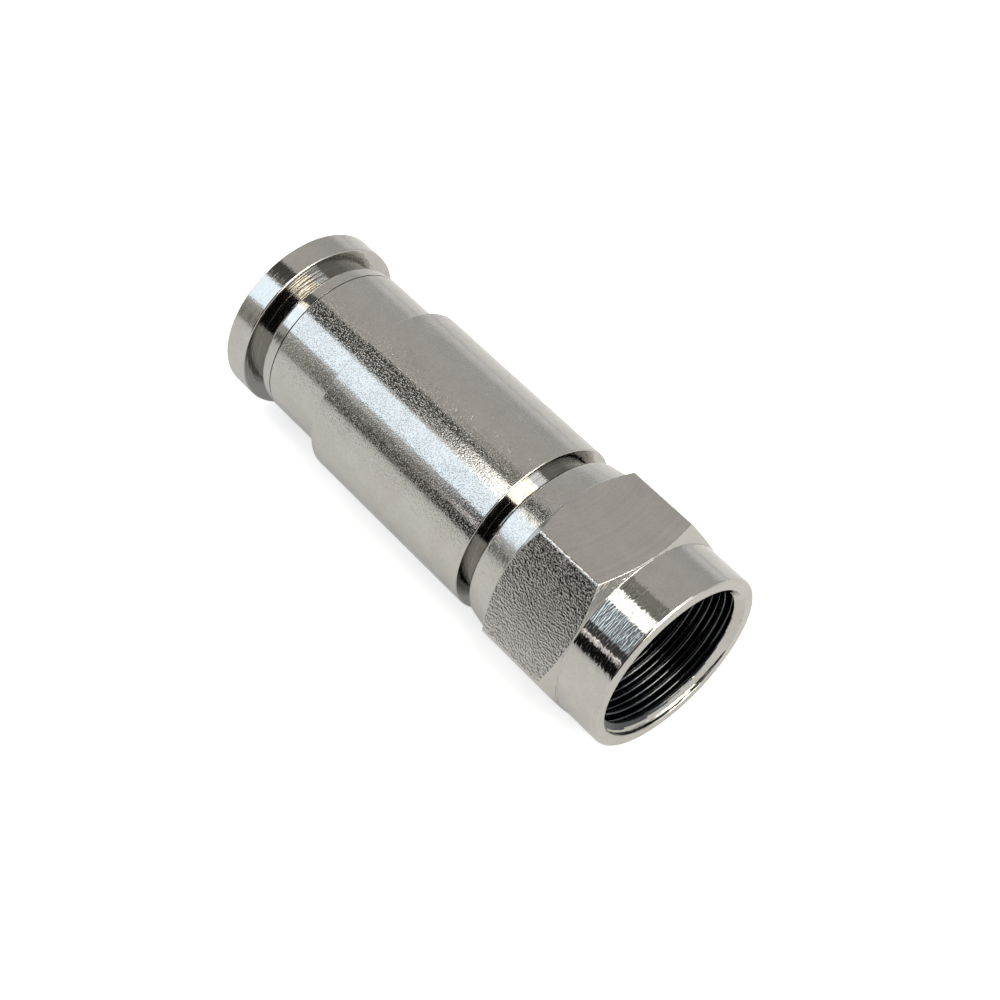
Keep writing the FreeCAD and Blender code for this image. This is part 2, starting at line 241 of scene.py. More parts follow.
def make_piece(name, grid, materials, finish_of=None, wrap=None):
    """A closed mesh from a grid of points, with normals weighted towards the larger faces.

    finish_of gives a face's material number from its row and its centre's x and radius.
    """
    rows, columns = grid.shape[:2]
    faces = ring_faces(rows, columns, wrap or range(rows))
    mesh = bpy.data.meshes.new(name)
    mesh.from_pydata(grid.reshape(-1, 3).tolist(), [], faces)
    for material in materials:
        mesh.materials.append(material)
    if finish_of is not None:
        for index, face in enumerate(mesh.polygons):
            centre = face.center
            radius = math.hypot(centre.y, centre.z)
            face.material_index = finish_of(index // columns, centre.x, radius)
    work = bmesh.new()
    work.from_mesh(mesh)
    bmesh.ops.remove_doubles(work, verts=work.verts, dist=WELD_DISTANCE)
    bmesh.ops.recalc_face_normals(work, faces=work.faces)
    work.to_mesh(mesh)
    work.free()
    mesh.shade_smooth()
    set_weighted_normals(mesh)
    piece = bpy.data.objects.new(name, mesh)
    bpy.context.scene.collection.objects.link(piece)
    return piece


def set_weighted_normals(mesh):
    """Vertex normals summed from the triangles, each weighted by the square of its area."""
    mesh.calc_loop_triangles()
    corners = np.empty(len(mesh.loop_triangles) * 3, dtype=np.int64)
    mesh.loop_triangles.foreach_get("vertices", corners)
    corners = corners.reshape(-1, 3)
    spots = np.empty(len(mesh.vertices) * 3)
    mesh.vertices.foreach_get("co", spots)
    spots = spots.reshape(-1, 3) / MM
    cross = np.cross(spots[corners[:, 1]] - spots[corners[:, 0]],
                     spots[corners[:, 2]] - spots[corners[:, 0]])
    weight = np.linalg.norm(cross, axis=1, keepdims=True)
    total = np.zeros_like(spots)
    for corner in range(3):
        np.add.at(total, corners[:, corner], cross * weight)
    length = np.linalg.norm(total, axis=1, keepdims=True)
    total = total / np.maximum(length, TINY)
    mesh.normals_split_custom_set_from_vertices(total.tolist())


def place_piece(piece, node, body):
    """Sets a piece on its body, in place of its node."""
    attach(piece, body)
    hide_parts(node)


def lathe(name, profile, materials, node, body, finish_of=None):
    """A turned piece with one profile all the way round."""
    angles = np.arange(COLUMNS) * (2 * math.pi / COLUMNS)
    piece = make_piece(name, turned_points(profile[:, None], angles), materials, finish_of)
    place_piece(piece, node, body)


# Colours: each finish is mottled between a colour and its shade
NICKEL = (0.56, 0.545, 0.52)
NICKEL_SHADE = (0.49, 0.475, 0.45)
# Painted shade: the bore colours are the nickel darkened to stand in for the shade inside the bores
BORE_PAINTED_SHADE = (0.11, 0.118, 0.13)
BORE_PAINTED_SHADE_DEEP = (0.05, 0.054, 0.06)
# Painted shade: the recess colours are the nickel darkened for the neck and the groove floors
RECESS_PAINTED_SHADE = (0.36, 0.35, 0.335)
RECESS_PAINTED_SHADE_DEEP = (0.29, 0.28, 0.265)
# Painted shade: the tool mark's colour is near black, standing in for the shade in its narrow slot
MARK_PAINTED_SHADE = (0.04, 0.038, 0.036)
ACETAL = (0.86, 0.86, 0.83)
ACETAL_SHADE = (0.8, 0.8, 0.77)
RUBBER = (0.012, 0.012, 0.013)
RUBBER_SHADE = (0.02, 0.02, 0.021)

# Finishes: scales count features in a millimetre, and relief is in millimetres, peak to valley
CLOUD_SCALE = 0.9
SPECK_SCALE = 9
CUTTER_SCALE = 5
PIT_SCALE = 13
GRAIN_STRETCH = 0.8
SKIN_CLOUD_SCALE = 1.5
SKIN_SCALE = 12

# Parts of a noise's height over which a finish goes from its low end to its high end
TONE_SPAN = (0.35, 0.65)
GLOSS_SPAN = (0.3, 0.7)
PIT_SPAN = (0.58, 0.7)

# Lowest and highest roughness, in shares of the middle one
PLATED_GLOSS = (0.75, 1.3)
MOULDED_GLOSS = (0.85, 1.15)

# Centre of the cutter's arcs on the nut's flats, in metres
CUTTER_CENTRE = (-0.0125, 0.0, 0.0)


class Nodes:
    """A material's node tree, built a node at a time."""

    def __init__(self, name):
        self.material = bpy.data.materials.new(name)
        self.material.use_nodes = True
        self.tree = self.material.node_tree
        self.shader = self.tree.nodes["Principled BSDF"]
        self.place = self.add("ShaderNodeTexCoord").outputs["Object"]

    def add(self, kind, **settings):
        node = self.tree.nodes.new(kind)
        for key, value in settings.items():
            setattr(node, key, value)
        return node

    def link(self, source, target):
        self.tree.links.new(source, target)

    def math(self, operation, *values):
        """A sum or the like of sockets and plain numbers."""
        node = self.add("ShaderNodeMath", operation=operation)
        for socket, value in zip(node.inputs, values):
            if isinstance(value, (int, float)):
                socket.default_value = value
            else:
                self.link(value, socket)
        return node.outputs[0]

    def ramp(self, source, span, bottom, top):
        """A number that goes from bottom to top as its source crosses the span."""
        node = self.add("ShaderNodeMapRange")
        self.link(source, node.inputs["Value"])
        names = ("From Min", "From Max", "To Min", "To Max")
        for name, value in zip(names, (*span, bottom, top)):
            node.inputs[name].default_value = value
        return node.outputs["Result"]

    def scaled(self, vector, along, across=None):
        """A position counted in features to a millimetre, along the first axis and across it."""
        across = along if across is None else across
        node = self.add("ShaderNodeVectorMath", operation="MULTIPLY")
        self.link(vector, node.inputs[0])
        node.inputs[1].default_value = (along * PER_MM, across * PER_MM, across * PER_MM)
        return node.outputs[0]

    def noise(self, vector, detail):
        node = self.add("ShaderNodeTexNoise")
        self.link(vector, node.inputs["Vector"])
        node.inputs["Scale"].default_value = 1
        node.inputs["Detail"].default_value = detail
        return node.outputs["Fac"]

    def cells(self, vector):
        """Distance to the nearest of a cloud of scattered points: a field of small round pits."""
        node = self.add("ShaderNodeTexVoronoi")
        self.link(vector, node.inputs["Vector"])
        node.inputs["Scale"].default_value = 1
        return node.outputs["Distance"]

    def turned_place(self):
        """Position whose first part runs across the tool's marks, on cylinders and on end faces."""
        split = self.add("ShaderNodeSeparateXYZ")
        self.link(self.place, split.inputs[0])
        square = self.math("ADD", self.math("MULTIPLY", split.outputs["Y"], split.outputs["Y"]),
                           self.math("MULTIPLY", split.outputs["Z"], split.outputs["Z"]))
        across = self.math("ADD", split.outputs["X"], self.math("SQRT", square))
        join = self.add("ShaderNodeCombineXYZ")
        self.link(across, join.inputs["X"])
        self.link(split.outputs["Y"], join.inputs["Y"])
        self.link(split.outputs["Z"], join.inputs["Z"])
        return join.outputs[0]

    def milled_place(self):
        """Position whose first part is the distance from a cutter's centre on the axis."""
        node = self.add("ShaderNodeVectorMath", operation="DISTANCE")
        self.link(self.place, node.inputs[0])
        node.inputs[1].default_value = CUTTER_CENTRE
        join = self.add("ShaderNodeCombineXYZ")
        self.link(node.outputs["Value"], join.inputs["X"])
        return join.outputs[0]

    def set_colour(self, source, colour, shade):
        """Base colour that goes from colour to shade as its source rises."""
        node = self.add("ShaderNodeMix", data_type="RGBA")
        self.link(self.ramp(source, TONE_SPAN, 0, 1), node.inputs["Factor"])
        node.inputs["A"].default_value = (*colour, 1)
        node.inputs["B"].default_value = (*shade, 1)
        self.link(node.outputs["Result"], self.shader.inputs["Base Color"])

    def set_roughness(self, source, roughness, gloss):
        low, high = gloss
        varied = self.ramp(source, GLOSS_SPAN, roughness * low, roughness * high)
        self.link(varied, self.shader.inputs["Roughness"])

    def set_relief(self, heights):
        """Bumps from (height, millimetres) pairs, each on top of the last."""
        normal = None
        for height, millimetres in heights:
            node = self.add("ShaderNodeBump")
            node.inputs["Strength"].default_value = 1
            node.inputs["Distance"].default_value = millimetres * MM
            self.link(height, node.inputs["Height"])
            if normal is not None:
                self.link(normal, node.inputs["Normal"])
            normal = node.outputs["Normal"]
        self.link(normal, self.shader.inputs["Normal"])


def plated_metal(name, roughness, colours=(NICKEL, NICKEL_SHADE), grain=0.0, grain_scale=12,
                 pits=0.0, sand=0.0, sand_scale=12, marks=0.0, mark_pitch=0.11, waver=0.5, arcs=0.0):
    """Nickel plate over turned brass.

    grain, pits, sand and marks are depths of relief. mark_pitch is in millimetres, waver counts how
    often in a millimetre a tool mark changes, and arcs is how strongly a milling cutter's arcs show.
    """
    nodes = Nodes(name)
    nodes.shader.inputs["Metallic"].default_value = 1
    cloud = nodes.noise(nodes.scaled(nodes.place, CLOUD_SCALE), detail=3)
    speck = nodes.noise(nodes.scaled(nodes.place, SPECK_SCALE), detail=2)
    mottle = nodes.math("ADD", nodes.math("MULTIPLY", cloud, 0.5), nodes.math("MULTIPLY", speck, 0.5))
    if arcs:
        cutter = nodes.noise(nodes.scaled(nodes.milled_place(), CUTTER_SCALE), detail=1)
        swing = nodes.math("MULTIPLY", nodes.math("SUBTRACT", cutter, 0.5), arcs)
        mottle = nodes.math("ADD", mottle, swing)
    nodes.set_colour(mottle, *colours)
    nodes.set_roughness(speck, roughness, PLATED_GLOSS)
    relief = []
    if grain:
        place = nodes.scaled(nodes.place, GRAIN_STRETCH * grain_scale, grain_scale)
        relief.append((nodes.noise(place, detail=1 if sand else 0), grain))
    if pits:
        scatter = nodes.noise(nodes.scaled(nodes.place, PIT_SCALE), detail=0)
        relief.append((nodes.ramp(scatter, PIT_SPAN, 1, 0), pits))
    if sand:
        relief.append((nodes.cells(nodes.scaled(nodes.place, sand_scale)), sand))
    if marks:
        place = nodes.scaled(nodes.turned_place(), 1 / mark_pitch, waver)
        relief.append((nodes.noise(place, detail=1), marks))
    nodes.set_relief(relief)
    return nodes.material


def moulded(name, roughness, colour, shade, pebble):
    """Moulded plastic or rubber with a fine uneven skin."""
    nodes = Nodes(name)
    cloud = nodes.noise(nodes.scaled(nodes.place, SKIN_CLOUD_SCALE), detail=3)
    skin = nodes.noise(nodes.scaled(nodes.place, SKIN_SCALE), detail=3)
    nodes.set_colour(cloud, colour, shade)
    nodes.set_roughness(skin, roughness, MOULDED_GLOSS)
    nodes.set_relief([(skin, pebble)])
    return nodes.material


nut_turned = plated_metal("nut_turned", 0.07, marks=0.01, mark_pitch=0.075, waver=2.2)
nut_tail = plated_metal("nut_tail", 0.13, grain=0.003, grain_scale=14, pits=0.004, marks=0.01,
                        waver=1.8)
nut_flats = plated_metal("nut_flats", 0.05, grain=0.0125, grain_scale=9.6, sand=0.006, arcs=0.5)
# Painted shade: the thread takes the darkened bore colours
nut_thread_painted_shade = plated_metal("nut_thread_painted_shade", 0.1, (BORE_PAINTED_SHADE, BORE_PAINTED_SHADE_DEEP), marks=0.002)
body_grain = plated_metal("body_grain", 0.09, grain=0.0022, pits=0.0048)
body_band = plated_metal("body_band", 0.09, marks=0.016, mark_pitch=0.13)
body_turned = plated_metal("body_turned", 0.1, grain=0.002, marks=0.008)
# Painted shade: the barrel's neck and the sleeve's groove floor are darkened
body_recess_painted_shade = plated_metal("body_recess_painted_shade", 0.08, (RECESS_PAINTED_SHADE, RECESS_PAINTED_SHADE_DEEP), grain=0.001,
                           marks=0.003)
# Painted shade: the tool mark is painted near black
body_mark_painted_shade = plated_metal("body_mark_painted_shade", 0.5, (BORE_PAINTED_SHADE_DEEP, MARK_PAINTED_SHADE), marks=0.002)
# Painted shade: the plain bores take the darkened bore colours
body_bore_painted_shade = plated_metal("body_bore_painted_shade", 0.25, (BORE_PAINTED_SHADE, BORE_PAINTED_SHADE_DEEP), grain=0.002, marks=0.003)
post_plate = plated_metal("post_plate", 0.22, grain=0.001, marks=0.003)
grip_plastic = moulded("grip_plastic", 0.45, ACETAL, ACETAL_SHADE, 0.002)
seal_rubber = moulded("seal_rubber", 0.6, RUBBER, RUBBER_SHADE, 0.003)


# Coupling nut
def ridge_arc():
    """The rounded ridge: its centre's distance from the axis, and the angle where a flat begins."""
    centre = (ACROSS_FLATS / 2 - FLAT_CROWN - RIDGE_ROUND) / math.cos(HALF_SECTOR)
    touch = math.atan2(RIDGE_ROUND / 2, centre + RIDGE_ROUND * math.cos(HALF_SECTOR))
    return centre, touch


def hexagon_radius(angle):
    """Distance from the axis to the hexagon's side, its flats a little crowned, its ridges rounded."""
    off_ridge = (angle + HALF_SECTOR) % HEX_SECTOR - HALF_SECTOR
    centre, touch = ridge_arc()
    if abs(off_ridge) >= touch:
        off_middle = HALF_SECTOR - abs(off_ridge)
        drop = FLAT_CROWN * (math.tan(off_middle) / math.tan(HALF_SECTOR - touch)) ** 2
        return (ACROSS_FLATS / 2 - drop) / math.cos(off_middle)
    sideways = centre * math.sin(off_ridge)
    return centre * math.cos(off_ridge) + math.sqrt(RIDGE_ROUND ** 2 - sideways ** 2)


def nut_angles():
    """Angles of the nut's columns: close together at each ridge, even across each flat."""
    touch = ridge_arc()[1]
    ridge = np.linspace(-touch, touch, RIDGE_COLUMNS)
    flat = np.linspace(touch, HEX_SECTOR - touch, FLAT_COLUMNS)[1:-1]
    sector = np.concatenate([ridge, flat])
    return np.concatenate([side * HEX_SECTOR + sector for side in range(HEX_SIDES)])


def countersink_radius(front, x):
    """Radius of the nut's countersunk mouth."""
    slope = (MOUTH_RADIUS - THREAD_BORE_RADIUS) / COUNTERSINK_DEPTH
    return MOUTH_RADIUS - slope * (front - x)


def nut_outside(front, rear, side):
    """The nut's profile but for its thread, at an angle where the hexagon is side from the axis."""
    hex_end = front - RING_LENGTH - HEX_LENGTH
    thread_end = front - COUNTERSINK_DEPTH - THREAD_LENGTH
    web_front = thread_end - RELIEF_LENGTH
    web_rear = web_front - WEB_LENGTH
    front_fall = (side - RING_RADIUS) * math.tan(FRONT_CHAMFER_ANGLE)
    rear_fall = (side - TAIL_FRONT_RADIUS) * math.tan(REAR_CHAMFER_ANGLE)
    lip_end = front - LIP_DEPTH
    return rounded([
        (front, MOUTH_RADIUS, CRISP),
        (front, RING_RADIUS, RIM_ROUND),
        (front - RING_LENGTH, RING_RADIUS, CRISP),
        (front - RING_LENGTH - front_fall, side, CRISP),
        (hex_end + rear_fall, side, CRISP),
        (hex_end, TAIL_FRONT_RADIUS, CRISP),
        (rear, TAIL_REAR_RADIUS, TAIL_ROUND),
        (rear, TAIL_BORE_RADIUS, SOFT),
        (web_rear, TAIL_BORE_RADIUS, CRISP),
        (web_rear, WEB_BORE_RADIUS, SOFT),
        (web_front, WEB_BORE_RADIUS, SOFT),
        (web_front, RELIEF_RADIUS, CRISP),
        (thread_end, RELIEF_RADIUS, 0),
        (lip_end, countersink_radius(front, lip_end), 0),
    ])[:-1]


def thread_form():
    """(share of a pitch, radius) across one turn of the thread, from the middle of the groove."""
    depth = THREAD_ROOT_RADIUS - THREAD_BORE_RADIUS
    flank = depth * math.tan(FLANK_ANGLE) / THREAD_PITCH
    half = [(0, 0), (ROOT_END, 0)]
    half += [(ROOT_END + flank * part, part) for part in FLANK_ROWS]
    crest = half[-1][0]
    half += [(crest + (0.5 - crest) * part, fall) for part, fall in CREST_ROWS]
    mirrored = [(1 - share, fall) for share, fall in half[:0:-1]]
    return [(share, THREAD_ROOT_RADIUS - depth * fall) for share, fall in half + [(0.5, 1)] + mirrored]


def nut_thread_rows(front, angle, form, turns):
    """The thread's profile at an angle. It ends in the countersink in front and the relief behind."""
    lip_end = front - LIP_DEPTH
    thread_end = front - COUNTERSINK_DEPTH - THREAD_LENGTH
    shares, radii = zip(*form, (1, THREAD_ROOT_RADIUS))
    start = front + THREAD_PITCH * ((angle - THREAD_EXIT) / (2 * math.pi) + 1 - turns)
    points = []
    for turn in range(turns):
        for share, radius in form:
            place = start + THREAD_PITCH * (turn + share)
            x = min(max(place, thread_end), lip_end)
            if x != place:
                radius = np.interp((x - start) / THREAD_PITCH % 1, shares, radii)
            points.append((x, max(radius, countersink_radius(front, x))))
    return points


def make_coupling_nut():
    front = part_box("coupling_nut")[1].x
    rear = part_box("coupling_nut")[0].x
    form = thread_form()
    turns = math.ceil((COUNTERSINK_DEPTH + THREAD_LENGTH - LIP_DEPTH) / THREAD_PITCH) + 2
    angles = nut_angles()
    outsides = [nut_outside(front, rear, hexagon_radius(angle)) for angle in angles]
    threads = [nut_thread_rows(front, angle, form, turns) for angle in angles]
    profiles = np.concatenate([outsides, threads], axis=1).transpose(1, 0, 2)
    outside_rows = len(outsides[0])
    thread_rows = len(threads[0])
    wrap = list(range(outside_rows))
    wrap += [outside_rows + min(row + len(form), thread_rows - 1) for row in range(thread_rows)]
    # A flat lies between its profile's fourth and fifth corners, and the tail from the sixth to the eighth
    flat_rows = range(4 * ARC_ROWS - 2, 4 * ARC_ROWS + 1)
    tail_rows = range(5 * ARC_ROWS, 7 * ARC_ROWS)
    thread_front = front - COUNTERSINK_DEPTH + CRISP
    finishes = [nut_turned, nut_flats, nut_thread_painted_shade, nut_tail]

    def finish_of(row, x, _radius):
        if row in flat_rows:
            return finishes.index(nut_flats)
        if row in tail_rows:
            return finishes.index(nut_tail)
        # Painted shade: the threaded bore takes the darkened bore colours
        if row >= tail_rows.stop and x < thread_front:
            return finishes.index(nut_thread_painted_shade)
        return finishes.index(nut_turned)

    piece = make_piece("coupling_nut_shell", turned_points(profiles, angles), finishes, finish_of, wrap)
    place_piece(piece, "coupling_nut", "nut")


# Inner post
def make_inner_post():
    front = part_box("inner_post")[1].x
    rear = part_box("inner_post")[0].x
    flange_rear = front - POST_FLANGE_LENGTH
    shoulder_rear = flange_rear - POST_SHOULDER_LENGTH
    barb_front = shoulder_rear - POST_TUBE_LENGTH
    profile = rounded([
        (front, POST_BORE_RADIUS, POST_MOUTH_ROUND),
        (front, POST_FLANGE_RADIUS, POST_FLANGE_ROUND),
        (flange_rear, POST_FLANGE_RADIUS, CRISP),
        (flange_rear, POST_SHOULDER_RADIUS, CRISP),
        (shoulder_rear, POST_SHOULDER_RADIUS, CRISP),
        (shoulder_rear, POST_TUBE_RADIUS, CRISP),
        (barb_front, POST_TUBE_RADIUS, CRISP),
        (barb_front - BARB_RISE, BARB_RADIUS, CRISP),
        (rear, BARB_TIP_RADIUS, CRISP),
        (rear, POST_BORE_RADIUS, CRISP),
    ])
    lathe("inner_post_tube", profile, [post_plate], "inner_post", "barrel")


# Barrel
def make_barrel():
    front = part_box("barrel")[1].x
    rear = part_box("barrel")[0].x
    seal_rear, seal_front = (corner.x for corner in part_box("nut_seal"))
    face = rear + BARREL_LENGTH
    press_rear = front - PRESS_LENGTH
    profile = rounded([
        (front, PRESS_BORE, CRISP),
        (front, NECK_RADIUS, CRISP),
        (seal_front + SEAL_GROOVE_SLACK, NECK_RADIUS, CRISP),
        (seal_front + SEAL_GROOVE_SLACK, SEAL_GROOVE_RADIUS, CRISP),
        (seal_rear - SEAL_GROOVE_SLACK, SEAL_GROOVE_RADIUS, CRISP),
        (seal_rear - SEAL_GROOVE_SLACK, NECK_RADIUS, CRISP),
        (face, NECK_RADIUS, SHARP),
        (face, BARREL_RADIUS, SOFT),
        (rear, BARREL_RADIUS, SOFT),
        (rear, BARREL_BORE, BARREL_MOUTH_ROUND),
        (press_rear - SQUEEZE_LENGTH, BARREL_BORE, CRISP),
        (press_rear, SQUEEZE_RADIUS, CRISP),
        (press_rear, PRESS_BORE, CRISP),
    ])
    shell_front = face - SOFT
    neck_rear = face + 0.01 * MM
    bore_reach = BARREL_BORE + BARREL_MOUTH_ROUND
    groove_reach = SEAL_GROOVE_RADIUS + CRISP
    finishes = [body_grain, body_turned, body_bore_painted_shade, body_recess_painted_shade]

    def finish_of(_row, x, radius):
        # Painted shade: the barrel's bore takes the darkened bore colours
        if x < shell_front:
            return finishes.index(body_bore_painted_shade if radius < bore_reach else body_grain)
        # Painted shade: the neck in front of the barrel's face takes the darkened recess colours
        if x > neck_rear and radius > groove_reach:
            return finishes.index(body_recess_painted_shade)
        return finishes.index(body_turned)

    lathe("barrel_shell", profile, finishes, "barrel", "barrel", finish_of)


# Compression sleeve
def make_compression_sleeve():
    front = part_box("compression_sleeve")[1].x
    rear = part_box("compression_sleeve")[0].x
    seal_rear, seal_front = (corner.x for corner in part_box("jacket_seal"))
    groove_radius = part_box("jacket_seal")[1].y
    flange_front = rear + FLANGE_LENGTH
    band_rear = flange_front + GROOVE_LENGTH
    band_front = band_rear + BAND_LENGTH
    mark = TOOL_MARK_WIDTH / 2
    profile = rounded([
        (front, NOSE_BORE_RADIUS, CRISP),
        (front, SLEEVE_RADIUS, NOSE_CHAMFER),
        (band_front + mark, SLEEVE_RADIUS, SHARP),
        (band_front + mark / 3, SLEEVE_RADIUS - TOOL_MARK_DEPTH, SHARP),
        (band_front - mark / 3, SLEEVE_RADIUS - TOOL_MARK_DEPTH, SHARP),
        (band_front - mark, SLEEVE_RADIUS - TOOL_MARK_RISE, SHARP),
        (band_rear, BAND_REAR_RADIUS, BAND_ROUND),
        (band_rear, GROOVE_RADIUS, SHARP),
        (flange_front, GROOVE_RADIUS, SHARP),
        (flange_front, FLANGE_RADIUS, SOFT),
        (rear, FLANGE_RADIUS, SOFT),
        (rear, CABLE_BORE_RADIUS, CABLE_BORE_CHAMFER),
        (seal_rear - SEAL_GROOVE_SLACK, CABLE_BORE_RADIUS, CRISP),
        (seal_rear - SEAL_GROOVE_SLACK, groove_radius, CRISP),
        (seal_front + SEAL_GROOVE_SLACK, groove_radius, CRISP),
        (seal_front + SEAL_GROOVE_SLACK, CABLE_BORE_RADIUS, CRISP),
        (front - NOSE_BORE_DEPTH, CABLE_BORE_RADIUS, CRISP),
        (front - NOSE_BORE_DEPTH, NOSE_BORE_RADIUS, CRISP),
    ])
    bore_reach = CABLE_BORE_RADIUS + SOFT
    seal_reach = groove_radius + CRISP
    recess_reach = GROOVE_RADIUS + SOFT
    finishes = [body_grain, body_turned, body_bore_painted_shade, body_recess_painted_shade, body_mark_painted_shade, body_band]

    def finish_of(_row, x, radius):
        # Painted shade: the sleeve's bores and seal groove take the darkened bore colours
        if radius < bore_reach or (radius < seal_reach and x > band_front):
            return finishes.index(body_bore_painted_shade)
        # Painted shade: the tool mark's slot takes the near-black mark colour
        if abs(x - band_front) < mark:
            return finishes.index(body_mark_painted_shade)
        if x > band_front:
            return finishes.index(body_grain)
        # Painted shade: the groove's floor takes the darkened recess colours
        if flange_front < x < band_rear and radius < recess_reach:
            return finishes.index(body_recess_painted_shade)
        if x > band_rear:
            return finishes.index(body_band)
        return finishes.index(body_turned)

    lathe("compression_sleeve_shell", profile, finishes, "compression_sleeve", "sleeve",
          finish_of)


# Grip ring
def make_grip_ring():
    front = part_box("grip_ring")[1].x
    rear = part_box("grip_ring")[0].x
    profile = rounded([
        (front, GRIP_BORE_RADIUS, CRISP),
        (front, GRIP_WEDGE_RADIUS, SOFT),
        (front - GRIP_WEDGE_LENGTH, GRIP_HEAD_RADIUS, SOFT),
        (front - GRIP_HEAD_LENGTH, GRIP_HEAD_RADIUS, CRISP),
        (front - GRIP_HEAD_LENGTH, GRIP_TONGUE_RADIUS, CRISP),
        (rear, GRIP_TONGUE_RADIUS, CRISP),
        (rear, GRIP_BORE_RADIUS, CRISP),
    ])
    lathe("grip_ring_wedge", profile, [grip_plastic], "grip_ring", "sleeve")


# Seals
def make_seal(name, node, body):
    """A ring of round cord, as wide as its place in the frame."""
    low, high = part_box(node)
    cord = (high.x - low.x) / 2
    middle = (high.x + low.x) / 2
    mean = high.y - cord
    turns = np.arange(CORD_SIDES) * (2 * math.pi / CORD_SIDES)
    profile = np.stack([middle + cord * np.cos(turns), mean + cord * np.sin(turns)], axis=1)
    lathe(name, profile, [seal_rubber], node, body)


make_coupling_nut()
make_inner_post()
make_barrel()
make_compression_sleeve()
make_grip_ring()
make_seal("nut_seal_ring", "nut_seal", "barrel")
make_seal("jacket_seal_ring", "jacket_seal", "sleeve")


# Floor: white to the camera, less so in the metal, and dim in the light that it throws back
FLOOR_REACH = 2.0
FLOOR_IN_METAL = 0.4
FLOOR_PAPER = (0.8, 0.8, 0.8, 1)
FLOOR_BOUNCE = (0.26, 0.255, 0.26, 1)
FLOOR_GLOW = 0.62


def floor_material():
    material = bpy.data.materials.new("floor_paper")
    material.use_nodes = True
    tree = material.node_tree
    tree.nodes.clear()
    paper = tree.nodes.new("ShaderNodeBsdfDiffuse")
    paper.inputs["Color"].default_value = FLOOR_PAPER
    bounce = tree.nodes.new("ShaderNodeBsdfDiffuse")
    bounce.inputs["Color"].default_value = FLOOR_BOUNCE
    glow = tree.nodes.new("ShaderNodeEmission")
    glow.inputs["Strength"].default_value = FLOOR_GLOW
    lifted = tree.nodes.new("ShaderNodeAddShader")
    path = tree.nodes.new("ShaderNodeLightPath")
    mirrored = tree.nodes.new("ShaderNodeMath")
    mirrored.operation = "MULTIPLY_ADD"
    mirrored.inputs[1].default_value = FLOOR_IN_METAL
    shown = tree.nodes.new("ShaderNodeMath")
    mix = tree.nodes.new("ShaderNodeMixShader")
    output = tree.nodes.new("ShaderNodeOutputMaterial")
    tree.links.new(paper.outputs[0], lifted.inputs[0])
    tree.links.new(glow.outputs[0], lifted.inputs[1])
    tree.links.new(path.outputs["Is Glossy Ray"], mirrored.inputs[0])
    tree.links.new(path.outputs["Is Camera Ray"], mirrored.inputs[2])
    tree.links.new(mirrored.outputs[0], shown.inputs[0])
    tree.links.new(path.outputs["Is Transmission Ray"], shown.inputs[1])
    tree.links.new(shown.outputs[0], mix.inputs[0])
    tree.links.new(bounce.outputs[0], mix.inputs[1])
    tree.links.new(lifted.outputs[0], mix.inputs[2])
    tree.links.new(mix.outputs[0], output.inputs["Surface"])
    return material


def make_floor():
    level = CAD_BOX[0].z
    corners = ((-1, -1), (1, -1), (1, 1), (-1, 1))
    mesh = bpy.data.meshes.new("studio_floor")
    mesh.from_pydata([(x * FLOOR_REACH, y * FLOOR_REACH, level) for x, y in corners], [], [(0, 1, 2, 3)])
    mesh.materials.append(floor_material())
    floor = bpy.data.objects.new("studio_floor", mesh)
    bpy.context.scene.collection.objects.link(floor)


# World: pale round the horizon, a warm grey ceiling overhead. A tone is (height, colour)
WORLD_TONES = (
    (0.12, (0.83, 0.83, 0.83, 1)),
    (0.28, (0.545, 0.55, 0.54, 1)),
    (0.8, (0.61, 0.585, 0.55, 1)),
)


def make_world():
    world = bpy.data.worlds.new("studio")
    bpy.context.scene.world = world
    world.use_nodes = True
    tree = world.node_tree
    tree.nodes.clear()
    place = tree.nodes.new("ShaderNodeTexCoord")
    split = tree.nodes.new("ShaderNodeSeparateXYZ")
    ramp = tree.nodes.new("ShaderNodeValToRGB")
    tones = ramp.color_ramp.elements
    tones.new(WORLD_TONES[-1][0])
    for tone, (height, colour) in zip(tones, WORLD_TONES):
        tone.position = height
        tone.color = colour
    background = tree.nodes.new("ShaderNodeBackground")
    output = tree.nodes.new("ShaderNodeOutputWorld")
    tree.links.new(place.outputs["Generated"], split.inputs[0])
    tree.links.new(split.outputs["Z"], ramp.inputs["Fac"])
    tree.links.new(ramp.outputs["Color"], background.inputs["Color"])
    tree.links.new(background.outputs[0], output.inputs["Surface"])


# Lights and cards are set on a dome round the object. A direction on it is given by its X part, along,
# and by its turn in degrees about X, from +Y towards +Z
DOME_MIDDLE = Vector((-0.014, 0, 0))
DOME_RADIUS = 0.35
CARD_POINTS = 12

# Name, along, turn, width, height, radiance, colour
SOFTBOXES = (
    ("window_light", -0.60, 135, 0.165, 0.18, 1.38, (0.66, 0.84, 1.0)),
    ("window_top", -0.90, 132, 0.11, 0.175, 1.42, (0.70, 0.86, 1.0)),
    ("edge_light", -0.33, 112.5, 0.104, 0.09, 2.2, (1.0, 0.98, 0.94)),
    ("tail_light", -0.74, 114, 0.04, 0.06, 1.7, (1.0, 0.92, 0.76)),
    ("glint_light", -0.33, 160.5, 0.011, 0.09, 1.5, (1.0, 0.93, 0.93)),
    ("glint_light_low", -0.33, 163.6, 0.006, 0.09, 1.2, (1.0, 0.93, 0.93)),
    ("overhead_lamp", 0.38, 93, 0.21, 0.09, 9.5, (1.0, 0.94, 0.78)),
    ("overhead_glow", 0.42, 66, 0.11, 0.07, 3.4, (0.86, 0.93, 1.0)),
    ("low_lamp", 0.87, 88, 0.26, 0.06, 13.0, (1.0, 0.95, 0.82)),
    ("low_glow", 0.82, 48, 0.2, 0.14, 1.1, (1.0, 0.97, 0.9)),
)

